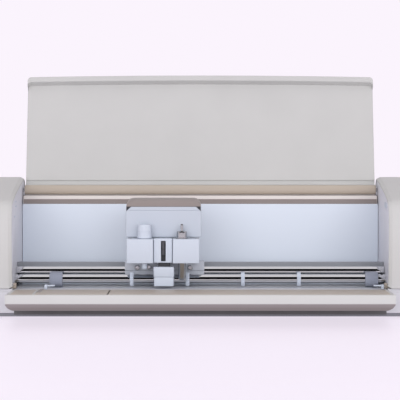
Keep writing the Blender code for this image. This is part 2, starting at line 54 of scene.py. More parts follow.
# ---------------------------------------------------------------- camera, lamps and table
# A long lens well in front of the machine, tilted down a few degrees. The room is pale and darker
# overhead; a wide soft lamp faces the machine and a smaller one hangs over it. The table is plain.
MM = 0.001
FRONT_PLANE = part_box("base_tray")[0][1] / MM - 2.5

CAMERA_DISTANCE, CAMERA_HEIGHT, CAMERA_DIP = 2000.0, 220.0, 2.96
camera = bpy.data.objects.new("camera", bpy.data.cameras.new("camera"))
camera.data.lens = 183.2
camera.data.clip_end = 50.0
camera.location = (-0.3 * MM, (FRONT_PLANE - CAMERA_DISTANCE) * MM, CAMERA_HEIGHT * MM)
camera.rotation_euler = (math.radians(90.0 - CAMERA_DIP), 0.0, 0.0)
bpy.context.collection.objects.link(camera)
bpy.context.scene.camera = camera
bpy.context.scene.view_settings.view_transform = "Standard"


def pale_room():
    """Walls of one pale tone that darken towards the ceiling, by the height of each direction."""
    room = bpy.data.worlds.new("pale_room")
    room.use_nodes = True
    nodes, link = room.node_tree.nodes, room.node_tree.links.new
    split = nodes.new("ShaderNodeSeparateXYZ")
    link(nodes.new("ShaderNodeTexCoord").outputs["Generated"], split.inputs["Vector"])
    ramp = nodes.new("ShaderNodeValToRGB")
    ramp.color_ramp.elements[0].position, ramp.color_ramp.elements[1].position = 0.15, 0.75
    ramp.color_ramp.elements[0].color = (0.965, 0.905, 0.982, 1.0)
    ramp.color_ramp.elements[1].color = (0.74, 0.71, 0.74, 1.0)
    link(split.outputs["Z"], ramp.inputs["Fac"])
    link(ramp.outputs["Color"], nodes["Background"].inputs["Color"])
    bpy.context.scene.world = room


pale_room()


def soft_lamp(name, size, power, place, tilt):
    """A rectangular lamp at a place in metres, turned up from straight down by `tilt` degrees."""
    lamp = bpy.data.objects.new(name, bpy.data.lights.new(name, "AREA"))
    lamp.data.shape = "RECTANGLE"
    lamp.data.size, lamp.data.size_y = size
    lamp.data.energy = power
    lamp.location = place
    lamp.rotation_euler = (math.radians(tilt), 0.0, 0.0)
    bpy.context.collection.objects.link(lamp)
    return lamp


soft_lamp("overhead_lamp", (2.6, 1.0), 0.6, (0.0, -0.5, 1.8), 12.0)
facing = soft_lamp("facing_lamp", (3.2, 1.2), 36.0, (0.0, -2.4, 0.62), 80.0)
facing.visible_glossy = False


def shading(name):
    """A new material, its shader, and short forms for adding a node and for linking two."""
    made = bpy.data.materials.new(name)
    made.use_nodes = True
    tree = made.node_tree

    def add(kind, sockets=(), **settings):
        node = tree.nodes.new("ShaderNode" + kind)
        for key, value in settings.items():
            setattr(node, key, value)
        for key, value in dict(sockets).items():
            node.inputs[key].default_value = value
        return node

    return made, tree.nodes["Principled BSDF"], add, tree.links.new


def table_top(radius=1.6, sides=96):
    """A disc whose surface fades into the room towards its rim."""
    made, shader, add, link = shading("pale_table")
    distance = add("VectorMath", operation="LENGTH")
    link(add("TexCoord").outputs["Object"], distance.inputs[0])
    fade = add("MapRange", {"From Min": 0.5, "From Max": 1.5, "To Min": 1.0, "To Max": 0.0})
    link(distance.outputs["Value"], fade.inputs["Value"])
    link(fade.outputs["Result"], shader.inputs["Alpha"])
    shader.inputs["Base Color"].default_value = (0.13, 0.12, 0.13, 1.0)
    shader.inputs["Emission Color"].default_value = (0.93, 0.86, 0.97, 1.0)
    shader.inputs["Emission Strength"].default_value = 0.78
    shader.inputs["Roughness"].default_value = 0.5
    angle = np.linspace(0.0, 2 * np.pi, sides + 1)[:-1]
    rim = np.stack([radius * np.cos(angle), radius * np.sin(angle), 0 * angle], axis=1)
    mesh = bpy.data.meshes.new("table_top")
    mesh.from_pydata(rim.tolist(), [], [list(range(sides))])
    mesh.materials.append(made)
    table = bpy.data.objects.new("table_top", mesh)
    bpy.context.collection.objects.link(table)


def dark_drape():
    """A black cloth hung in front of the table, seen by polished metal alone."""
    made, shader = shading("black_cloth")[:2]
    shader.inputs["Base Color"].default_value = (0.003, 0.003, 0.004, 1.0)
    shader.inputs["Specular IOR Level"].default_value = 0.0
    shader.inputs["Roughness"].default_value = 1.0
    half, (low_y, low_z), (high_y, high_z) = 4.0, (-2.6, 0.26), (-1.8, 3.4)
    corners = [(-half, low_y, low_z), (half, low_y, low_z),
               (half, high_y, high_z), (-half, high_y, high_z)]
    mesh = bpy.data.meshes.new("dark_drape")
    mesh.from_pydata(corners, [], [(0, 1, 2, 3)])
    mesh.materials.append(made)
    drape = bpy.data.objects.new("dark_drape", mesh)
    drape.visible_camera = drape.visible_diffuse = drape.visible_shadow = False
    drape.visible_transmission = False
    bpy.context.collection.objects.link(drape)


table_top()
dark_drape()


# ---------------------------------------------------------------- base tray
# The pale lower body, an injection-moulded tray with a narrow stepped band above its feet and a
# ledge under the housings. It is notched in the middle for the front door, and open above.
def moulded(name, colour, shade, rough=0.48, grain=0.10, coat=0.0, mottle=26.0):
    """Moulded plastic: spark-eroded grain as bump, and a slow drift between two close colours."""
    made, shader, add, link = shading(name)
    place = add("TexCoord").outputs["Object"]
    drift = add("TexNoise", {"Scale": mottle, "Detail": 3.0})
    link(place, drift.inputs["Vector"])
    blend = add("Mix", data_type="RGBA")
    blend.inputs["A"].default_value = (*shade, 1.0)
    blend.inputs["B"].default_value = (*colour, 1.0)
    link(drift.outputs["Fac"], blend.inputs["Factor"])
    link(blend.outputs["Result"], shader.inputs["Base Color"])
    pores = add("TexNoise", {"Scale": 1700.0, "Detail": 2.0, "Roughness": 0.6})
    link(place, pores.inputs["Vector"])
    gloss = add("MapRange", {"To Min": rough - 0.07, "To Max": rough + 0.07})
    link(pores.outputs["Fac"], gloss.inputs["Value"])
    link(gloss.outputs["Result"], shader.inputs["Roughness"])
    bump = add("Bump", {"Strength": grain, "Distance": 0.0002})
    link(pores.outputs["Fac"], bump.inputs["Height"])
    link(bump.outputs["Normal"], shader.inputs["Normal"])
    shader.inputs["Coat Weight"].default_value = coat
    shader.inputs["Coat Roughness"].default_value = 0.25
    return made


SHARP_ANGLE = 32.0


def add_piece(name, points, faces, finish, sharp=SHARP_ANGLE):
    """Make a smooth-shaded mesh object from points in millimetres, with its faces turned outwards:
    they are flipped where the volume they enclose, the sum of a . (b x c) / 6, is negative."""
    points = np.asarray(points, float).reshape(-1, 3)
    world = (points + (0.0, FRONT_PLANE, 0.0)) * MM
    mesh = bpy.data.meshes.new(name)
    mesh.from_pydata(world.tolist(), [], faces)
    mesh.materials.append(finish)
    mesh.calc_loop_triangles()
    corners = np.empty(len(mesh.loop_triangles) * 3, int)
    mesh.loop_triangles.foreach_get("vertices", corners)
    a, b, c = (world[corners[k::3]] for k in range(3))
    if np.einsum("ij,ij->i", a, np.cross(b, c)).sum() < 0:
        mesh.flip_normals()
    mesh.shade_smooth()
    mesh.set_sharp_from_angle(angle=math.radians(sharp))
    made = bpy.data.objects.new(name, mesh)
    bpy.context.collection.objects.link(made)
    return made


def skin(name, rings, finish, sharp=SHARP_ANGLE):
    """A closed skin: quads between neighbouring rings of equal length, and a flat cap at each end."""
    rings = np.asarray(rings, float)
    count, size = rings.shape[:2]
    here = np.arange(count * size).reshape(count, size)
    after = np.roll(here, -1, axis=1)
    quads = np.stack([here[:-1], after[:-1], after[1:], here[1:]], axis=-1).reshape(-1, 4)
    faces = quads.tolist() + [here[0][::-1].tolist(), here[-1].tolist()]
    return add_piece(name, rings, faces, finish, sharp)


def rounded(corners, steps=6):
    """Closed outline from (a, b, radius) corners, each replaced by the arc that touches both its
    sides: the arc's centre lies on the bisector, radius / sin(half the corner's angle) away."""
    outline = []
    for index, (a, b, radius) in enumerate(corners):
        here = np.array((a, b), float)
        before = np.array(corners[index - 1][:2]) - here
        after = np.array(corners[(index + 1) % len(corners)][:2]) - here
        before, after = before / np.linalg.norm(before), after / np.linalg.norm(after)
        half = 0.5 * math.acos(np.clip(before @ after, -1.0, 1.0))
        centre = here + (before + after) / np.linalg.norm(before + after) * radius / math.sin(half)
        ends = [here + way * radius / math.tan(half) - centre for way in (before, after)]
        start, stop = (math.atan2(end[1], end[0]) for end in ends)
        sweep = (stop - start + math.pi) % (2 * math.pi) - math.pi
        angle = start + sweep * np.linspace(0.0, 1.0, steps + 1)
        outline.append(centre + radius * np.stack([np.cos(angle), np.sin(angle)], axis=1))
    return np.concatenate(outline)


def inward(outline):
    """The move that carries each point of an outline inwards by one unit: along the mean normal of
    its two sides, lengthened by 1 / cos(half the turn) so that both sides move by one unit."""
    ahead = np.roll(outline, -1, axis=0) - outline
    ahead /= np.linalg.norm(ahead, axis=1, keepdims=True)
    normal = np.stack([-ahead[:, 1], ahead[:, 0]], axis=1)
    x, y = outline[:, 0], outline[:, 1]
    normal *= np.sign(np.sum(x * np.roll(y, -1) - y * np.roll(x, -1)))
    mean = normal + np.roll(normal, 1, axis=0)
    mean /= np.linalg.norm(mean, axis=1, keepdims=True)
    return mean / np.clip(np.sum(mean * normal, axis=1, keepdims=True), 0.5, 1.0)


def carried(axis, outline, places, draw=0.0):
    """Rings of an outline at places along X, Y or Z, each drawn inwards by its own distance."""
    outline = np.asarray(outline, float)
    places = np.atleast_1d(np.asarray(places, float))
    draw = np.broadcast_to(draw, places.shape)
    flat = outline[None] + inward(outline)[None] * draw[:, None, None]
    along = np.broadcast_to(places[:, None, None], (*flat.shape[:2], 1))
    return np.insert(flat, ["XYZ".index(axis)], along, axis=2)


def pressed(outline, axis, low, high, edge=0.6, steps=3):
    """Rings of an outline pushed along an axis, whose two end edges are quarter rounds: at angle t
    the ring stands edge * (1 - cos t) from the end and is drawn in by edge * (1 - sin t)."""
    t = np.linspace(0.0, np.pi / 2, steps + 1)
    places = np.concatenate([low + edge * (1 - np.cos(t)), (high - edge * (1 - np.cos(t)))[::-1]])
    draw = edge * (1 - np.sin(t))
    return carried(axis, outline, places, np.concatenate([draw, draw[::-1]]))


def block(name, x_span, d_span, z_span, finish, corner=1.0, edge=0.6, axis="Z", steps=4):
    """A block with rounded corners seen along one axis and rounded edges at both ends of it."""
    (a0, a1), (b0, b1), (low, high) = {"X": (d_span, z_span, x_span), "Y": (x_span, z_span, d_span),
                                       "Z": (x_span, d_span, z_span)}[axis]
    outline = rounded([(a0, b0, corner), (a1, b0, corner), (a1, b1, corner), (a0, b1, corner)], steps)
    return skin(name, pressed(outline, axis, low, high, min(edge, corner * 0.9)), finish)


def carve(piece, *tools):
    """Cut tools out of a piece and throw them away."""
    for tool in tools:
        step = piece.modifiers.new("carve", "BOOLEAN")
        step.operation, step.solver, step.object = "DIFFERENCE", "EXACT", tool
    bpy.context.view_layer.update()
    graph = bpy.context.evaluated_depsgraph_get()
    solid = bpy.data.meshes.new_from_object(piece.evaluated_get(graph))
    piece.modifiers.clear()
    piece.data = solid
    solid.set_sharp_from_angle(angle=math.radians(SHARP_ANGLE))
    for tool in tools:
        bpy.data.objects.remove(tool, do_unlink=True)
    return piece


def tool_box(x_span, d_span, z_span):
    """A sharp-edged cutting block."""
    (x0, x1), (d0, d1), (z0, z1) = x_span, d_span, z_span
    outline = np.array([(x0, d0), (x1, d0), (x1, d1), (x0, d1)], float)
    return skin("cutting_block", carried("Z", outline, (z0, z1)), base_finish)


def fit(piece, body, slot, *nodes):
    """Fasten a piece to its body and hide the solids that it stands for; `slot`, a finish's name, is
    not used.
    """
    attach(piece, body)
    if nodes:
        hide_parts(*nodes)
    return piece


base_finish = moulded("pale_lilac_base", (0.585, 0.590, 0.615), (0.555, 0.560, 0.588), grain=0.08)


def paint_foot_shade(made, top, shade, blur=0.0002):
    """Multiply a finish by a painted shade below a height over the table, for the shade under the
    base's stepped foot.
    """
    nodes, link = made.node_tree.nodes, made.node_tree.links.new
    colour = nodes["Principled BSDF"].inputs["Base Color"]
    split = nodes.new("ShaderNodeSeparateXYZ")
    link(nodes.new("ShaderNodeTexCoord").outputs["Object"], split.inputs["Vector"])
    height = nodes.new("ShaderNodeMapRange")
    limits = {"From Min": top - blur, "From Max": top, "To Min": 1.0, "To Max": 0.0}
    for socket, value in limits.items():
        height.inputs[socket].default_value = value
    link(split.outputs["Z"], height.inputs["Value"])
    blend = nodes.new("ShaderNodeMix")
    blend.data_type, blend.blend_type = "RGBA", "MULTIPLY"
    blend.inputs["B"].default_value = (*shade, 1.0)
    link(height.outputs["Result"], blend.inputs["Factor"])
    link(colour.links[0].from_socket, blend.inputs["A"])
    link(blend.outputs["Result"], colour)


# Painted shade: the tray's colour is multiplied by 0.34 below 4.8 mm, for the shade under its stepped
# foot.
paint_foot_shade(base_finish, 0.0048, (0.34, 0.345, 0.36))


BASE_HALF, BASE_FRONT, BASE_BACK = 278.5, 2.5, 160.5
BAY_HALF = 186.0


def base_tray():
    """Rings of a rounded rectangle, its corners arcs of 14 mm, drawn in by the profile's inset."""
    z, draw = np.array([(1.0, 2.6), (1.15, 2.1), (1.6, 1.8), (3.8, 1.6), (4.1, 1.2), (4.3, 0.7),
                        (4.8, 0.25), (5.6, 0.05), (6.5, 0.0), (24.2, 0.0), (24.7, 0.12), (25.1, 0.5),
                        (26.7, 1.5), (27.4, 1.65), (28.1, 1.7), (28.4, 1.95)]).T
    outline = rounded([(-BASE_HALF, BASE_FRONT, 14.0), (BASE_HALF, BASE_FRONT, 14.0),
                       (BASE_HALF, BASE_BACK, 14.0), (-BASE_HALF, BASE_BACK, 14.0)], 14)
    tray = skin("base_tray_skin", carried("Z", outline, z, draw), base_finish)
    carve(tray, tool_box((4.0 - BASE_HALF, BASE_HALF - 4.0), (15.0, 156.0), (4.4, 40.0)),
          tool_box((-BAY_HALF, BAY_HALF), (-10.0, 12.0), (13.2, 40.0)),
          tool_box((-BAY_HALF, BAY_HALF), (-10.0, 170.0), (24.1, 40.0)))
    return fit(tray, "machine", "base_plastic", "base_tray")


base_tray()


# ---------------------------------------------------------------- end housings
# Two hollow greige shells, each moulded in one shot and screwed down on the tray. The side view is
# one soft outline; the outer end is rounded over and the inner edge has a narrow light chamfer.
casing = moulded("warm_grey_casing", (0.540, 0.545, 0.530), (0.498, 0.503, 0.489))
HOUSING_POINTS = [(1.5, 28.9), (-1.6, 42.0), (-4.4, 60.0), (-5.4, 78.0), (-4.4, 96.0), (-1.4, 107.0),
                  (4.2, 113.4), (15.0, 117.4), (49.0, 123.3), (88.0, 128.2), (132.0, 132.9),
                  (144.0, 133.1), (153.0, 129.4), (159.0, 121.0), (161.4, 108.0), (161.9, 90.0),
                  (161.9, 60.0), (161.9, 28.9)]


def smooth_through(points, steps=8):
    """Catmull-Rom curve through open points: each stretch is the cubic whose end slopes are half
    the chord between its neighbours."""
    points = np.asarray(points, float)
    padded = np.concatenate([2 * points[:1] - points[1:2], points, 2 * points[-1:] - points[-2:-1]])
    p0, p1, p2, p3 = (padded[k:len(points) - 1 + k][:, None] for k in range(4))
    t = np.linspace(0.0, 1.0, steps, endpoint=False)[None, :, None]
    curve = 0.5 * (2 * p1 + (p2 - p0) * t + (2 * p0 - 5 * p1 + 4 * p2 - p3) * t ** 2
                   + (3 * p1 - p0 - 3 * p2 + p3) * t ** 3)
    return np.concatenate([curve.reshape(-1, 2), points[-1:]])


housing_outline = smooth_through(HOUSING_POINTS)
HOUSING_FOOT = np.array((80.0, 28.7))


def housing(side):
    """The outline carried along X. At the outer end it shrinks towards the middle of its foot by
    0.12 (1 - sin t)^1.6 while x advances by 26 cos t; at the bay it is drawn in over a chamfer and
    returns inside as a wall 3 mm thick."""
    t = np.linspace(0.0, np.pi / 2, 14)
    factor = (1.0 - 0.12 * (1 - np.sin(t)) ** 1.6)[:, None, None]
    shrunk = HOUSING_FOOT + (housing_outline[None] - HOUSING_FOOT) * factor
    advance = np.broadcast_to((254.0 + 26.0 * np.cos(t))[:, None, None], (*shrunk.shape[:2], 1))
    outer = np.insert(shrunk, [0], advance, axis=2)
    x, draw = np.array([(189.4, 0.0), (188.9, 0.12), (188.5, 0.35), (186.1, 1.5), (185.6, 1.9),
                        (185.5, 2.4), (185.5, 3.0), (250.0, 3.0), (270.0, 7.0)]).T
    rings = np.concatenate([outer, carried("X", housing_outline, x, draw)])
    rings[..., 0] *= side
    return skin("left_housing_shell" if side < 0 else "right_housing_shell", rings, casing, 24.0)


fit(housing(-1), "machine", "casing_plastic", "left_housing")
right_shell = housing(1)
PANEL_SLOPE = math.atan2(4.9, 39.0)
PANEL_SEAT = np.array((237.0, 68.5, 123.4 + 19.5 * math.tan(PANEL_SLOPE)))


def on_seat(piece):
    """Tilt a piece built about the origin to the panel's slope and carry it to the panel's seat:
    depth becomes d cos - h sin and height becomes d sin + h cos, plus the seat's own place."""
    origin = np.array((0.0, FRONT_PLANE, 0.0))
    points = np.empty(len(piece.data.vertices) * 3)
    piece.data.vertices.foreach_get("co", points)
    x, d, h = (points.reshape(-1, 3) / MM - origin).T
    c, s = math.cos(PANEL_SLOPE), math.sin(PANEL_SLOPE)
    tilted = np.stack([x, d * c - h * s, d * s + h * c], axis=1) + PANEL_SEAT + origin
    piece.data.vertices.foreach_set("co", (tilted * MM).ravel())
    piece.data.update()
    return piece


panel_recess = block("cutting_block", (-31.3, 31.3), (-14.3, 14.3), (-6.0, 6.0), casing, 2.3)
inlet_hole = tool_box((213.7, 230.3), (140.0, 170.0), (35.7, 48.3))
port_hole = tool_box((237.1, 248.9), (140.0, 170.0), (37.1, 46.9))
carve(right_shell, on_seat(panel_recess), inlet_hole, port_hole)
fit(right_shell, "machine", "casing_plastic", "right_housing")


# ---------------------------------------------------------------- inner walls
# The bay's two side walls: flat cool-grey mouldings set inside the housings' rims, with a hole for
# the pinch shaft, a slot for the belt, and small white catches for the lid near the top.
def turned(name, profile, axis, centre, finish, sides=64, sharp=SHARP_ANGLE):
    """A solid of revolution: a circle of `sides` points, scaled by each radius of a (distance
    along the axis, radius) profile."""
    angle = np.linspace(0.0, 2 * np.pi, sides + 1)[:-1]
    place, radius = np.asarray(profile, float).T
    circle = np.stack([np.cos(angle), np.sin(angle)], axis=1)
    flat = np.asarray(centre) + circle * radius[:, None, None]
    along = np.broadcast_to(place[:, None, None], (*flat.shape[:2], 1))
    return skin(name, np.insert(flat, ["XYZ".index(axis)], along, axis=2), finish, sharp)


wall_finish = moulded("cool_grey_wall", (0.690, 0.700, 0.755), (0.665, 0.675, 0.730), rough=0.5)
white = moulded("satin_white", (0.560, 0.615, 0.695), (0.535, 0.590, 0.670), rough=0.36,
                grain=0.04, coat=0.12)
PINCH_AXIS = (38.5, 34.8)
wall_outline = housing_outline + inward(housing_outline) * 3.3
wall_outline[:, 1] = np.maximum(wall_outline[:, 1], 29.2)
CATCHES = {-1: ((51.0, 112.3, 9.0, 1.8), (51.0, 107.6, 9.0, 1.8), (38.0, 98.0, 6.0, 1.8)),
           1: ((40.0, 109.4, 24.0, 5.4),)}
for side, name in ((-1, "left_inner_wall"), (1, "right_inner_wall")):
    low, high = sorted((side * 186.3, side * 188.8))
    wall = skin(name + "_plate", pressed(wall_outline, "X", low, high, 0.3, 2), wall_finish)
    hole = turned("cutting_bar", [(low - 4.0, 5.4), (high + 4.0, 5.4)], "X", PINCH_AXIS, wall_finish)
    carve(wall, hole, tool_box((low - 4.0, high + 4.0), (63.5, 72.5), (33.0, 50.0)))
    fit(wall, "machine", "wall_plastic", name)
    low, high = sorted((side * 185.7, side * 186.8))
    for number, (depth, height, long, tall) in enumerate(CATCHES[side]):
        catch = block(f"{name}_catch_{number}", (low, high), (depth - long / 2, depth + long / 2),
                      (height - tall / 2, height + tall / 2), white, tall * 0.49, 0.3, "X")
        fit(catch, "machine", "white_plastic")


# ---------------------------------------------------------------- back panel, bridge, rear cover
# Behind the bay stands a smooth pale panel. An angle-shaped bridge over it closes the gap to the
# lid's hinge, and the greige rear cover runs between the housings above the mat slot.
panel_finish = moulded("pale_blue_panel", (0.690, 0.755, 0.835), (0.665, 0.730, 0.810), rough=0.42,
                       grain=0.05)
bridge_finish = moulded("pale_taupe_bridge", (0.73, 0.685, 0.65), (0.70, 0.655, 0.62), rough=0.42)
panel_section = rounded([(125.0, 38.5, 0.5), (127.2, 38.5, 0.5), (127.2, 106.0, 0.9),
                         (125.0, 106.0, 0.9)])
back = skin("back_panel_sheet", pressed(panel_section, "X", -185.9, 185.9, 0.4, 2), panel_finish)
fit(back, "machine", "panel_plastic", "back_panel")
bridge_section = rounded([(127.6, 104.5, 0.5), (129.4, 104.5, 0.5), (129.4, 111.4, 0.5),
                          (151.2, 111.4, 0.5), (151.2, 114.4, 0.5), (127.6, 114.4, 1.2)])
REAR_HALF = 185.2
bridge = skin("rear_bridge_strip", pressed(bridge_section, "X", -REAR_HALF, REAR_HALF, 0.4, 2),
              bridge_finish)
fit(bridge, "machine", "white_plastic", "rear_bridge")
# Painted shade: a brown-grey strip hung under the bridge stands in for the shaded gap above the back
# panel.
painted_shade_apron_finish = moulded("painted_shade_apron", (0.27, 0.235, 0.22), (0.25, 0.218, 0.205), rough=0.5)
apron = block("rear_bridge_painted_shade_apron", (-184.6, 184.6), (127.3, 128.4), (104.7, 111.0), painted_shade_apron_finish,
              0.4, 0.3, "X")
fit(apron, "machine", "champagne_plastic")
cover_section = rounded([(158.7, 38.3, 0.6), (161.2, 38.3, 0.9), (161.7, 105.0, 9.0),
                         (157.5, 114.8, 3.0), (151.5, 114.8, 0.9), (151.5, 112.3, 0.9),
                         (156.0, 112.3, 2.0), (159.0, 104.0, 5.0)], 8)
cover = skin("rear_cover_shell", pressed(cover_section, "X", -REAR_HALF, REAR_HALF, 0.4, 2), casing)
fit(cover, "machine", "casing_plastic", "rear_cover")


# ---------------------------------------------------------------- lid
# A long shallow shell with a curled front lip and a root that wraps its hinge barrel, moulded in
# one, with a flat liner bonded inside. Seen from above its front edge is a very shallow arch.
champagne = moulded("champagne_trim", (0.470, 0.410, 0.338), (0.446, 0.388, 0.320), rough=0.40,
                    grain=0.06)
LID_AXIS, LID_LEAN = np.array((136.0, 120.3)), math.radians(18.0)
LID_LENGTH, LID_HALF, LID_BOW, LID_SKIN, LID_CORNER = 125.4, 184.2, 1.9, 13.2, 4.0


def spread(half, corner, middle=41):
    """Places across a long piece, crowded towards its ends as the sine of an even angle."""
    bend = half - corner * (1 - np.sin(np.linspace(0.0, np.pi / 2, 9)))
    return np.concatenate([-bend[::-1], np.linspace(-half + corner, half - corner, middle)[1:-1], bend])


def across_lid(section, half, corner):
    """A (u, n) section, u along the open lid from its hinge and n outwards, carried across it. Its
    front part moves by the bow, a parabola, less a quarter circle at each corner; the section is
    then turned by the lid's lean: depth = u sin + n cos, height = u cos - n sin."""
    x = spread(half, corner)
    over = np.maximum(np.abs(x) - (half - corner), 0.0)
    move = LID_BOW * (1 - (x / LID_HALF) ** 2) - (corner - np.sqrt(corner ** 2 - over ** 2))
    near_front = np.clip((section[:, 0] - 40.0) / 60.0, 0.0, 1.0)
    u = section[None, :, 0] + move[:, None] * near_front[None]
    n = np.broadcast_to(section[None, :, 1], u.shape)
    c, s = math.cos(LID_LEAN), math.sin(LID_LEAN)
    return np.stack([np.broadcast_to(x[:, None], u.shape), LID_AXIS[0] + u * s + n * c,
                     LID_AXIS[1] + u * c - n * s], axis=2)


lid_section = rounded([(LID_LENGTH - 8.0, 11.0, 2.6), (LID_LENGTH - 5.7, 2.3, 1.4),
                       (LID_LENGTH, 1.8, 1.1), (LID_LENGTH, LID_SKIN, 3.3), (6.0, LID_SKIN, 5.0),
                       (-3.0, 6.5, 2.5), (-1.6, 1.6, 0.5), (3.4, 0.6, 0.5), (6.6, 5.6, 1.5),
                       (8.6, 11.0, 1.6)], 8)
lid_shell = skin("lid_shell_moulding", across_lid(lid_section, LID_HALF, LID_CORNER), casing)
fit(lid_shell, "lid", "casing_plastic", "lid_shell")
liner_section = rounded([(13.0, 9.5, 0.6), (LID_LENGTH - 7.4, 9.5, 0.6), (LID_LENGTH - 7.4, 10.8, 0.5),
                         (13.0, 10.8, 0.5)], 4)
lid_liner = skin("lid_liner_sheet", across_lid(liner_section, LID_HALF - 0.4, 3.0), casing)
fit(lid_liner, "lid", "casing_plastic", "lid_liner")
barrel = turned("lid_hinge_barrel", [(-184.2, 4.3), (-183.8, 4.8), (-183.2, 5.0), (183.2, 5.0),
                                     (183.8, 4.8), (184.2, 4.3)], "X", LID_AXIS, champagne, 48)
fit(barrel, "lid", "champagne_plastic")


# ---------------------------------------------------------------- front door
# A hollow moulding with a boat-shaped underside and a raised pale lip, on a rod along its root; the
# underside is a darker taupe sheet of painted shade. Two champagne panels, a short and a long one,
# close its storage trays, and a dark grey rubber strip under it, facing the notch in the tray, is a
# painted shadow of the door.
def rubber(name, colour, scale=900.0):
    """Rubber: matt, with a fine mould texture and a dusty lighter bloom in patches."""
    made, shader, add, link = shading(name)
    place = add("TexCoord").outputs["Object"]
    bloom = add("TexNoise", {"Scale": 60.0, "Detail": 5.0})
    link(place, bloom.inputs["Vector"])
    blend = add("Mix", data_type="RGBA")
    blend.inputs["A"].default_value = (*[0.85 * c for c in colour], 1.0)
    blend.inputs["B"].default_value = (*[min(1.15 * c, 1.0) for c in colour], 1.0)
    link(bloom.outputs["Fac"], blend.inputs["Factor"])
    link(blend.outputs["Result"], shader.inputs["Base Color"])
    pores = add("TexNoise", {"Scale": scale, "Detail": 3.0})
    link(place, pores.inputs["Vector"])
    bump = add("Bump", {"Strength": 0.35, "Distance": 0.0003})
    link(pores.outputs["Fac"], bump.inputs["Height"])
    link(bump.outputs["Normal"], shader.inputs["Normal"])
    shader.inputs["Roughness"].default_value = 0.78
    shader.inputs["Sheen Weight"].default_value = 0.1
    return made


grey_rubber = rubber("grey_rubber", (0.27, 0.295, 0.36))
black_rubber = rubber("black_rubber", (0.025, 0.025, 0.028))


def taupe_with_painted_shade():
    """Taupe plastic with painted shade: its colour darkens towards the door's root, by height over the
    table.
    """
    made, shader, add, link = shading("taupe_painted_shade")
    place = add("TexCoord").outputs["Object"]
    split = add("SeparateXYZ")
    link(place, split.inputs["Vector"])
    height = add("MapRange", {"From Min": 0.0105, "From Max": 0.0225})
    link(split.outputs["Z"], height.inputs["Value"])
    drift = add("TexNoise", {"Scale": 30.0, "Detail": 3.0})
    link(place, drift.inputs["Vector"])
    blend = add("Mix", data_type="RGBA")
    # Painted shade: colour A, reached near the door's root, is the deepest shade under the door.
    blend.inputs["A"].default_value = (0.088, 0.062, 0.042, 1.0)
    blend.inputs["B"].default_value = (0.305, 0.275, 0.262, 1.0)
    uneven = add("Math", {0: 0.0, 1: 0.08, 2: 0.0}, operation="MULTIPLY_ADD")
    link(drift.outputs["Fac"], uneven.inputs[0])
    link(height.outputs["Result"], uneven.inputs[2])
    link(uneven.outputs["Value"], blend.inputs["Factor"])
    link(blend.outputs["Result"], shader.inputs["Base Color"])
    shader.inputs["Roughness"].default_value = 0.5
    return made


painted_shade_taupe = taupe_with_painted_shade()
DOOR_AXIS, DOOR_HALF = np.array((2.0, 20.0)), 185.0


def across_door(section, half, corner):
    """A (forward, rise) section about the door's axis, carried across it. Towards each end the
    parts below the axis rise by a quarter ellipse, to 0.58 of their depth."""
    x = spread(half, corner)
    over = np.maximum(np.abs(x) - (half - corner), 0.0) / corner
    drop = 1.0 - 0.42 * (1 - np.sqrt(1 - over ** 2))
    forward, rise = section.T
    height = np.where(rise < 0.0, rise * drop[:, None], rise)
    depth = np.broadcast_to(DOOR_AXIS[0] - forward, height.shape)
    return np.stack([np.broadcast_to(x[:, None], height.shape), depth, DOOR_AXIS[1] + height], axis=2)


door_section = rounded([(-3.2, 7.6, 1.0), (-4.6, 0.5, 2.5), (-1.4, -4.8, 3.0), (10.0, -7.3, 10.0),
                        (27.0, -8.5, 25.0), (46.0, -7.9, 30.0), (64.0, -4.9, 30.0), (79.0, 0.2, 9.0),
                        (83.2, 1.9, 0.9), (84.5, 2.3, 0.5), (84.6, 6.5, 3.0), (84.3, 10.9, 1.3),
                        (80.8, 10.9, 0.5), (80.6, 9.9, 0.2), (-1.0, 7.9, 1.0)], 8)
DOOR_CORNER = 5.0
door_shell = skin("door_shell_moulding", across_door(door_section, DOOR_HALF, DOOR_CORNER), casing)
HOLLOW = np.array([(6.5, 13.5), (6.5, -4.2), (22.0, -6.0), (40.0, -6.0), (57.0, -3.8), (70.0, -0.4),
                   (78.0, 3.2), (80.5, 6.0), (80.5, 13.5)])
hollow_places = np.insert(DOOR_AXIS + HOLLOW * (-1, 1), 0, -182.0, axis=1)
carve(door_shell, skin("cutting_block", [hollow_places, hollow_places * (-1, 1, 1)], casing))
fit(door_shell, "door", "casing_plastic", "door_shell")
# Painted shade: the underside is a separate darker taupe sheet standing in for the shade under the
# door.
under_section = rounded([(-1.2, -4.9, 0.3), (10.0, -7.6, 10.0), (27.0, -8.9, 25.0), (46.0, -8.3, 30.0),
                         (64.0, -5.3, 30.0), (79.0, -0.15, 9.0), (83.4, 1.65, 0.2), (83.3, 2.2, 0.2),
                         (79.0, 0.6, 9.0), (64.0, -4.5, 30.0), (46.0, -7.5, 30.0), (27.0, -8.1, 25.0),
                         (10.0, -6.9, 10.0), (-1.2, -4.4, 0.2)], 6)
underside = skin("door_underside_painted_shade", across_door(under_section, DOOR_HALF - 0.1, DOOR_CORNER),
                 painted_shade_taupe)
fit(underside, "door", "champagne_plastic")
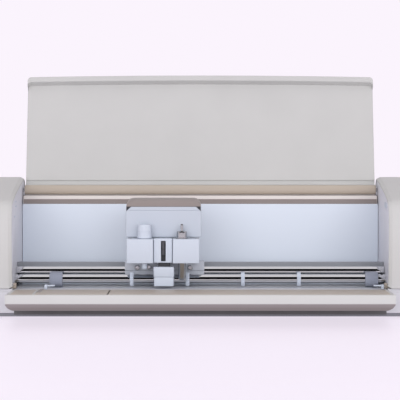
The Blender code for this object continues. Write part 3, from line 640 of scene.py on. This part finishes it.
# Painted shadow: a dark grey strip on the tray's front stands in for the door's shadow there.
painted_shadow_rubber = rubber("painted_shadow_grey_rubber", (0.112, 0.112, 0.112))
strip = block("door_painted_shadow_strip", (-184.0, 184.0), (1.9, 2.8), (3.1, 12.6), painted_shadow_rubber,
              0.4, 0.3, "X")
fit(strip, "machine", "black_rubber")
panel_flat = rounded([(6.9, 6.9, 0.35), (80.1, 8.6, 0.35), (80.1, 10.3, 0.4), (6.9, 8.6, 0.4)], 3)
pull_slot = rounded([(3.0, 8.2, 0.2), (45.0, 9.1, 0.2), (45.0, 9.75, 0.2), (3.0, 8.75, 0.2)], 2)
pull_rib = rounded([(6.9, 8.2, 0.2), (72.0, 9.6, 0.2), (72.0, 10.6, 0.2), (6.9, 9.1, 0.2)], 2)


def on_door(name, outline, low, high, edge, finish):
    """A (forward, rise) outline about the door's axis, pressed along X from low to high."""
    return skin(name, pressed(DOOR_AXIS + outline * (-1, 1), "X", low, high, edge, 2), finish)


for name, low, high in (("door_panel_left", -181.6, -89.3), ("door_panel_right", -88.0, 181.6)):
    panel = on_door(name + "_sheet", panel_flat, low, high, 0.3, champagne)
    fit(panel, "door", "champagne_plastic", name)
slot_inlay = on_door("door_panel_pull_slot", pull_slot, -158.0, -154.4, 0.2, painted_shade_taupe)
fit(slot_inlay, "door", "dark_plastic")
rib = on_door("door_panel_pull_rib", pull_rib, -160.2, -158.4, 0.2, casing)
fit(rib, "door", "casing_plastic")


# ---------------------------------------------------------------- rods
# The carriage's guide rod and the pinch shaft, centreless-ground steel, hard chromed and polished.
# The shaft has a clip groove beside each wall.
def polished(name, colour, rough, marks=0.9):
    """Polished metal: faint grinding marks round the rod vary its gloss and tint."""
    made, shader, add, link = shading(name)
    shader.inputs["Metallic"].default_value = 1.0
    stretch = add("Mapping", {"Scale": (300.0, 12.0, 12.0)})
    link(add("TexCoord").outputs["Object"], stretch.inputs["Vector"])
    grinding = add("TexNoise", {"Scale": 1.0, "Detail": 4.0})
    link(stretch.outputs["Vector"], grinding.inputs["Vector"])
    tint = add("Mix", data_type="RGBA")
    tint.inputs["A"].default_value = (*[marks * c for c in colour], 1.0)
    tint.inputs["B"].default_value = (*colour, 1.0)
    link(grinding.outputs["Fac"], tint.inputs["Factor"])
    link(tint.outputs["Result"], shader.inputs["Base Color"])
    gloss = add("MapRange", {"To Min": rough * 0.7, "To Max": rough * 1.3})
    link(grinding.outputs["Fac"], gloss.inputs["Value"])
    link(gloss.outputs["Result"], shader.inputs["Roughness"])
    return made


chrome = polished("polished_chrome", (0.78, 0.79, 0.80), 0.05, 0.96)
steel = polished("brushed_steel", (0.62, 0.63, 0.65), 0.25)
ROD_AXIS = (53.6, 41.7)
rod = turned("guide_rod_bar", [(-186.0, 4.6), (-185.6, 5.0), (185.6, 5.0), (186.0, 4.6)], "X",
             ROD_AXIS, chrome)
fit(rod, "machine", "chrome_steel", "guide_rod")
shaft = turned("pinch_shaft_bar", [(-190.0, 4.7), (-189.6, 5.1), (-183.2, 5.1), (-183.0, 4.4),
                                   (-181.6, 4.4), (-181.4, 5.1), (181.4, 5.1), (181.6, 4.4),
                                   (183.0, 4.4), (183.2, 5.1), (189.6, 5.1), (190.0, 4.7)],
               "X", PINCH_AXIS, chrome)
fit(shaft, "pinch", "chrome_steel", "pinch_shaft")


# ---------------------------------------------------------------- beam and platen
# Behind the rods runs a folded steel beam, powder-coated dark grey. The grey platen's two halves
# leave a slot in which the drive roller meets the wheels above it.
beam_finish = moulded("dark_powder_coat", (0.245, 0.262, 0.285), (0.225, 0.240, 0.262), rough=0.55,
                      grain=0.2)
beam_section = rounded([(60.3, 30.0, 0.3), (62.8, 30.0, 0.3), (62.8, 49.2, 0.3), (63.8, 49.2, 0.3),
                        (63.8, 50.5, 0.5), (60.3, 50.5, 0.9)], 4)
beam = skin("carriage_beam_folded", pressed(beam_section, "X", -BAY_HALF, BAY_HALF, 0.2, 2),
            beam_finish)
fit(beam, "machine", "dark_metal", "carriage_beam")
platen_finish = moulded("platen_grey", (0.64, 0.655, 0.695), (0.62, 0.635, 0.675), rough=0.38,
                        grain=0.05)
PLATEN_FOOT, PLATEN_TOP = 24.4, 27.0
for name, near, far in (("platen_front", 12.0, 31.9), ("platen_rear", 45.1, 156.5)):
    section = rounded([(near, PLATEN_FOOT, 0.4), (far, PLATEN_FOOT, 0.4), (far, PLATEN_TOP, 0.6),
                       (near, PLATEN_TOP, 0.8)], 5)
    platen = skin(name + "_plate", pressed(section, "X", -185.0, 185.0, 0.3, 2), platen_finish)
    fit(platen, "machine", "panel_plastic", name)


# ---------------------------------------------------------------- wheels on the pinch shaft
# Two wide grey rubber tyres press the mat on the drive roller; four thin white star wheels keep it
# flat between them. They slide on the shaft before they are locked.
WHEEL_BORE = 5.35
rib = np.array([(-0.55, 7.5), (-0.4, 7.72), (0.4, 7.72), (0.55, 7.5)])
ribs = (np.linspace(-5.6, 5.6, 9)[:, None, None] * (1, 0) + rib).reshape(-1, 2)
shoulder = np.array([(-6.5, 5.4), (-6.5, 6.3), (-6.3, 6.6)])
tyre_profile = np.concatenate([shoulder, ribs, shoulder[::-1] * (-1, 1)])
for name, x in (("pinch_wheel_left", -144.7), ("pinch_wheel_right", 171.9)):
    wheel = turned(name + "_tyre", tyre_profile + (x, 0), "X", PINCH_AXIS, grey_rubber, 72)
    bore = [(x - 9.0, WHEEL_BORE), (x + 9.0, WHEEL_BORE)]
    carve(wheel, turned("cutting_bar", bore, "X", PINCH_AXIS, chrome))
    fit(wheel, "pinch", "grey_rubber", name)


def star_wheel(number, x):
    """A disc whose rim is radius 6.62 + 0.38 tanh(3 cos 24 t): twenty-four blunt teeth."""
    t = np.linspace(0.0, 2 * np.pi, 193)[:-1]
    radius = 6.62 + 0.38 * np.tanh(3.0 * np.cos(24 * t))
    outline = np.array(PINCH_AXIS) + np.stack([np.cos(t), np.sin(t)], axis=1) * radius[:, None]
    star = skin(f"star_wheel_{number}_disc", pressed(outline, "X", x - 1.9, x + 1.9, 0.35, 2), white)
    bore = [(x - 6.0, WHEEL_BORE), (x + 6.0, WHEEL_BORE)]
    carve(star, turned("cutting_bar", bore, "X", PINCH_AXIS, chrome))
    fit(star, f"star_{number}", "white_plastic", f"star_wheel_{number}")


for number, x in enumerate((-68.8, -12.8, 42.7, 98.9), 1):
    star_wheel(number, x)


# ---------------------------------------------------------------- bay corner trims
# Two small champagne blocks that close the gap between the platen's ends and the bay's side walls,
# just behind the mat guides.
for side, near, far in (("left", -189.2, -183.2), ("right", 183.2, 189.2)):
    trim = block(f"bay_corner_trim_{side}", (near, far), (17.5, 24.0), (27.4, 32.6), champagne,
                 0.8, 0.3)
    fit(trim, "machine", "champagne_plastic")


# ---------------------------------------------------------------- mat guides
# Two small white posts, pushed into the front platen's corners, whose fingers hold the mat's edges
# down.
for name, post, finger in (("mat_guide_left", (-154.8, -152.0), (-153.0, -144.4)),
                           ("mat_guide_right", (179.6, 182.4), (172.0, 180.6))):
    upright = block(name + "_post", post, (12.4, 16.0), (27.3, 31.8), white, 0.9, 0.5)
    fit(upright, "machine", "white_plastic", name)
    arm = block(name + "_finger", finger, (13.4, 15.6), (30.0, 31.4), white, 0.4, 0.3, "X")
    fit(arm, "machine", "white_plastic")


# ---------------------------------------------------------------- carriage
# A white body runs on the guide rod through a broad bearing bracket. A white cover clips over its head
# and a champagne cap, darkened as painted shade, sits on top; a dark core, painted shade for the gaps,
# shows at the cover's cropped corners.
LEFT, RIGHT = -74.7, 1.1
# Dark plastic for real dark parts; also used as painted shade in the carriage's core, guide slot and
# neck.
dark_plastic = moulded("dark_plastic_and_painted_shade", (0.035, 0.036, 0.040), (0.045, 0.046, 0.050), rough=0.42)
bracket_finish = moulded("bracket_white", (0.50, 0.53, 0.585), (0.475, 0.505, 0.56), rough=0.40,
                         grain=0.04)
body_section = rounded([(35.8, 52.4, 0.8), (62.0, 52.4, 0.8), (64.4, 50.9, 0.8), (71.8, 50.9, 0.8),
                        (71.8, 54.0, 0.9), (62.0, 57.0, 0.9), (62.0, 105.8, 1.0),
                        (35.8, 105.8, 1.0)], 4)
head_block = skin("carriage_body_block", pressed(body_section, "X", -72.6, -1.0, 0.6), bracket_finish)
fit(head_block, "carriage", "white_plastic", "carriage_body")
bracket_section = rounded([(45.1, 43.1, 0.7), (46.9, 43.1, 0.4), (46.9, 35.0, 0.8), (59.7, 35.0, 0.8),
                           (59.7, 52.2, 0.8), (45.1, 52.2, 0.8)], 4)
bracket = skin("carriage_bearing_bracket", pressed(bracket_section, "X", -76.0, 4.0, 0.6),
               bracket_finish)
carve(bracket, turned("cutting_bar", [(-90.0, 5.3), (20.0, 5.3)], "X", ROD_AXIS, chrome))
fit(bracket, "carriage", "white_plastic")
screw_profile = [(45.6, 2.7), (44.4, 2.7), (44.0, 2.45), (43.85, 2.0), (43.85, 1.3), (44.6, 1.1)]
for number, (x, z) in enumerate(((-63.4, 45.9), (-51.9, 46.6), (-10.3, 45.9))):
    screw_head = turned(f"bracket_screw_{number}", screw_profile, "Y", (x, z), steel, 36)
    fit(screw_head, "carriage", "plain_steel")

# Painted shade: this dark block stands in for the shaded gaps that show at the cover's cropped corners.
core = block("carriage_painted_shade_core", (LEFT + 0.5, RIGHT - 0.5), (34.7, 61.0), (102.0, 108.25), dark_plastic,
             1.2, 0.3)
HOLLOW_TOP = 106.2
carve(core, block("cutting_block", (-72.9, -0.7), (35.3, 64.0), (90.0, HOLLOW_TOP), dark_plastic,
                  0.5, 0.2))
fit(core, "carriage", "dark_plastic")
cover_outline = rounded([(LEFT, 77.4, 1.3), (RIGHT, 77.4, 1.3), (RIGHT, 103.2, 1.3),
                         (RIGHT - 5.4, 108.0, 1.6), (LEFT + 5.4, 108.0, 1.6), (LEFT, 103.2, 1.3)], 6)
cover_finish = moulded("cover_white", (0.490, 0.538, 0.605), (0.470, 0.516, 0.582), rough=0.4,
                       grain=0.04)
head = skin("carriage_cover_shell", pressed(cover_outline, "Y", 33.2, 62.6, 1.1, 5), cover_finish)
bevel = np.array([(20.0, 104.3), (33.7, 104.3), (33.3, 104.7), (34.3, 109.2), (20.0, 109.2)])
carve(head, block("cutting_block", (-73.0, -0.6), (35.2, 70.0), (70.0, HOLLOW_TOP), white, 0.8, 0.3),
      skin("cutting_block", carried("X", bevel, (-80.0, 6.0)), white))
fit(head, "carriage", "white_plastic", "carriage_cover")


# The cap's own champagne colour, darkened to brown-grey as painted shade on its upward face.
cap_finish_with_painted_shade = moulded("champagne_cap_painted_shade", (0.270, 0.235, 0.220), (0.250, 0.218, 0.205), rough=0.38,
                     grain=0.05)


def carriage_cap():
    """A cushion-shaped cap over a grid: its height above the rim is sqrt(1 - (1 - s)^3) of the way
    in from each side, times the same from the front, times a quarter round at the back."""
    half = (RIGHT - LEFT) / 2 - 0.6
    x = spread(half, 11.0, 13)
    front = 14.0 * (1 - np.cos(np.linspace(0, np.pi / 2, 12)))
    run = np.concatenate([front, (17.0, 21.0, 25.0, 26.6, 27.6)])
    rise_x = np.sqrt(1 - (1 - np.clip((half - np.abs(x)) / 9.5, 0.0, 1.0)) ** 3)
    rise_d = np.sqrt(1 - (1 - np.clip(run / 15.0, 0.0, 1.0)) ** 3)
    rise_d = rise_d * np.sqrt(1 - np.clip((run - 25.0) / 2.7, 0.0, 1.0) ** 2)
    height = 108.9 + 7.0 * rise_x[:, None] * rise_d[None]
    top = np.stack(np.broadcast_arrays((x + (LEFT + RIGHT) / 2)[:, None], 33.9 + run[None], height),
                   axis=2)
    foot = np.stack([top[:, -1], top[:, 0]], axis=1)
    foot[..., 2] = 108.3
    return skin("carriage_cap_moulding", np.concatenate([top, foot], axis=1), cap_finish_with_painted_shade, 50.0)


fit(carriage_cap(), "carriage", "champagne_plastic", "carriage_cap")


# ---------------------------------------------------------------- tool guide
# The white upright between the clamps. A slot in its front shows the steel screw that lifts the tools,
# against a dark plate that is painted shade for the inside.
guide = block("tool_guide_block", (-46.5, -27.8), (19.3, 35.1), (53.0, 77.0), white, 0.8, 0.6)
carve(guide, block("cutting_block", (-39.2, -34.4), (10.0, 24.0), (54.3, 74.9), white, 0.8, 0.2, "Y"))
fit(guide, "carriage", "white_plastic", "tool_guide")
# Painted shade: a dark plate at the back of the slot stands in for the shade inside it.
slot_back = block("tool_guide_slot_painted_shade", (-39.1, -34.5), (23.4, 24.4), (54.4, 74.8), dark_plastic,
                  0.6, 0.2)
fit(slot_back, "carriage", "dark_plastic")
dull_steel = polished("dull_steel", (0.20, 0.205, 0.215), 0.4)
lift_profile = [(60.6, 1.5), (61.2, 1.9), (66.2, 1.9), (66.4, 1.6), (67.4, 1.6), (67.6, 1.9),
                (71.9, 1.9), (72.1, 2.25), (74.2, 2.25), (74.5, 1.9)]
lift_screw = turned("lift_screw", lift_profile, "Z", (-36.8, 21.6), dull_steel, 32)
fit(lift_screw, "carriage", "plain_steel")


# ---------------------------------------------------------------- sensor housing
# The white box between the tools that reads the mat's marks: two shells meeting at a seam, hung
# from the carriage by a short neck, dark as painted shadow under the clamps.
upper = block("sensor_housing_upper", (-46.6, -26.0), (16.6, 29.2), (39.0, 49.0), white, 1.8, 0.6)
fit(upper, "carriage", "white_plastic", "sensor_housing")
lower = block("sensor_housing_lower", (-46.2, -26.4), (16.9, 29.0), (29.8, 38.7), white, 1.8, 0.7)
fit(lower, "carriage", "white_plastic")
seam = block("sensor_housing_seam", (-45.4, -27.2), (17.3, 28.4), (38.2, 39.4), bracket_finish,
             1.2, 0.2)
fit(seam, "carriage", "white_plastic")
# Painted shadow: the neck's dark colour stands in for the shadow under the clamps.
neck = block("sensor_housing_painted_shadow_neck", (-42.0, -30.0), (22.0, 28.0), (48.0, 52.6), dark_plastic, 1.0, 0.3)
fit(neck, "carriage", "dark_plastic")


# ---------------------------------------------------------------- tool clamps
# Each clamp is a white block bored for one tool. Its front plate runs past the block and hides a
# lever that swings on a vertical pin.
TOOL_A, TOOL_B = (-55.7, 25.3), (-18.4, 25.3)


def clamp(letter, tool_axis, inner, outer):
    """The block and its plate as one outline pressed upwards, and the lever behind the plate."""
    side = 1 if outer > inner else -1
    edge = outer - side * 4.5
    outline = rounded([(inner, 16.2, 0.9), (outer, 16.2, 1.2), (outer, 19.2, 0.9), (edge, 19.2, 0.5),
                       (edge, 34.8, 0.9), (inner, 34.8, 0.9)], 6)
    holder = skin(f"clamp_{letter}_block", pressed(outline, "Z", 52.6, 76.8, 0.7, 4), white)
    carve(holder, turned("cutting_bar", [(40.0, 5.8), (90.0, 5.8)], "Z", tool_axis, white))
    fit(holder, f"tool_{letter}", "white_plastic", f"clamp_{letter}_holder")
    pin = edge + side * 2.4
    low, high = pin - 2.1, pin + 2.1
    outline = rounded([(low, 19.5, 2.0), (high, 19.5, 2.0), (high, 34.6, 1.4), (low, 34.6, 1.4)], 8)
    lever = skin(f"clamp_{letter}_lever_arm", pressed(outline, "Z", 55.0, 75.0, 0.7, 4), white)
    fit(lever, f"lever_{letter}", "white_plastic", f"clamp_{letter}_lever")


clamp("a", TOOL_A, -46.9, -73.4)
clamp("b", TOOL_B, -27.4, -0.9)


# ---------------------------------------------------------------- tools
# On the left a white adapter sleeve for pens; on the right the turned steel blade housing with its
# sprung plunger pin. Both drop into their clamps from above and rest on a shoulder.
adapter_profile = [(46.0, 1.2), (46.1, 1.6), (47.0, 2.5), (47.6, 2.6), (52.2, 2.6), (52.9, 5.1),
                   (53.3, 5.4), (77.2, 5.4), (77.2, 6.9), (77.5, 7.2), (79.0, 7.2), (79.3, 6.9),
                   (83.0, 6.9), (83.2, 6.6), (84.0, 6.6), (84.2, 6.9), (89.6, 6.5), (90.6, 6.2),
                   (91.0, 5.7)]
adapter = turned("pen_adapter_sleeve", adapter_profile, "Z", TOOL_A, white)
carve(adapter, turned("cutting_bar", [(70.0, 4.4), (95.0, 4.6)], "Z", TOOL_A, dark_plastic))
fit(adapter, "adapter", "white_plastic", "pen_adapter")
barrel_steel = polished("barrel_steel", (0.50, 0.505, 0.51), 0.12)
blade_profile = [(35.0, 1.4), (35.2, 1.7), (36.6, 3.6), (37.0, 3.75), (37.3, 3.8), (51.8, 3.8),
                 (52.2, 3.9), (53.2, 5.3), (53.5, 5.4), (77.2, 5.4), (77.2, 6.2), (77.4, 6.4),
                 (77.8, 6.4), (78.0, 6.2), (78.1, 5.2), (78.4, 5.2), (83.1, 5.2), (83.5, 5.15),
                 (84.0, 4.9), (84.2, 4.4)]
blade = turned("blade_housing_barrel", blade_profile, "Z", TOOL_B, barrel_steel)
carve(blade, turned("cutting_bar", [(60.0, 1.65), (95.0, 1.65)], "Z", TOOL_B, steel))
fit(blade, "blade", "chrome_steel", "blade_housing")
plunger_profile = [(64.0, 1.35), (90.0, 1.35), (90.4, 1.35), (91.1, 1.15), (91.5, 0.7)]
plunger = turned("blade_plunger_pin", plunger_profile, "Z", TOOL_B, barrel_steel, 32)
fit(plunger, "plunger", "plain_steel", "blade_plunger")


# ---------------------------------------------------------------- control panel
# A champagne plate let into the right housing's top, with four white push buttons that carry plain
# raised symbols: a ring for power, two bars for pause, two chevrons for load and an arrow for go.
plate = on_seat(block("control_panel_plate", (-31.0, 31.0), (-14.0, 14.0), (-2.0, 0.4), champagne,
                      2.0, 0.35))
BUTTON_PLACES = {"power": (-22.5, 0.0), "pause": (-7.5, 0.0), "load": (7.5, 0.0), "go": (22.5, 0.0)}
carve(plate, *[on_seat(turned("cutting_bar", [(-6.0, 5.8), (6.0, 5.8)], "Z", place, champagne))
               for place in BUTTON_PLACES.values()])
fit(plate, "machine", "champagne_plastic", "control_panel")
button_profile = [(-3.4, 5.3), (-3.2, 5.5), (0.9, 5.5), (1.25, 5.35), (1.4, 5.0), (1.4, 4.4)]
for name, place in BUTTON_PLACES.items():
    button = on_seat(turned(name + "_button_cap", button_profile, "Z", place, white))
    fit(button, "button_" + name, "white_plastic", "button_" + name)


def mark(name, number, outline):
    """A flat symbol raised from a button's face, pressed up from its (x, y) outline."""
    rings = pressed(np.array(outline) + BUTTON_PLACES[name], "Z", 1.3, 1.6, 0.06, 1)
    shape = skin(f"{name}_mark_{number}", rings, dark_plastic)
    fit(on_seat(shape), "button_" + name, "dark_plastic")


ring = turned("power_mark_1", [(1.3, 2.6), (1.6, 2.6)], "Z", BUTTON_PLACES["power"], dark_plastic, 48)
hole = turned("cutting_bar", [(1.0, 1.9), (2.0, 1.9)], "Z", BUTTON_PLACES["power"], dark_plastic, 48)
carve(ring, hole)
fit(on_seat(ring), "button_power", "dark_plastic")
for number, left in enumerate((-1.5, 0.5)):
    mark("pause", number, [(left, -2.2), (left + 1.0, -2.2), (left + 1.0, 2.2), (left, 2.2)])
for number, foot in enumerate((-1.9, 0.4)):
    mark("load", number, [(-2.2, foot), (-1.4, foot), (0.0, foot + 1.1), (1.4, foot), (2.2, foot),
                          (0.0, foot + 1.8)])
mark("go", 0, [(-1.5, -2.1), (2.3, 0.0), (-1.5, 2.1)])


# ---------------------------------------------------------------- pieces kept as they were packed
# Hinge rods, motors, pulleys, gears, belt, board, sockets and feet keep their solids and take
# their real finishes here.
board_finish = moulded("solder_mask", (0.02, 0.12, 0.05), (0.015, 0.09, 0.04), rough=0.3, grain=0.02)
KEPT = {"lid_hinge_rod": steel, "door_hinge_rod": steel, "feed_motor": steel, "carriage_motor": steel,
        "motor_pulley": steel, "idler_pulley": steel, "feed_pinion": steel, "feed_gear": white,
        "drive_roller": white, "carriage_belt": black_rubber, "main_board": board_finish,
        "power_inlet": dark_plastic, "data_port": dark_plastic}
KEPT.update({f"foot_{number}": black_rubber for number in range(1, 5)})
for name, finish in KEPT.items():
    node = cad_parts[name]
    node.data.materials.clear()
    node.data.materials.append(finish)
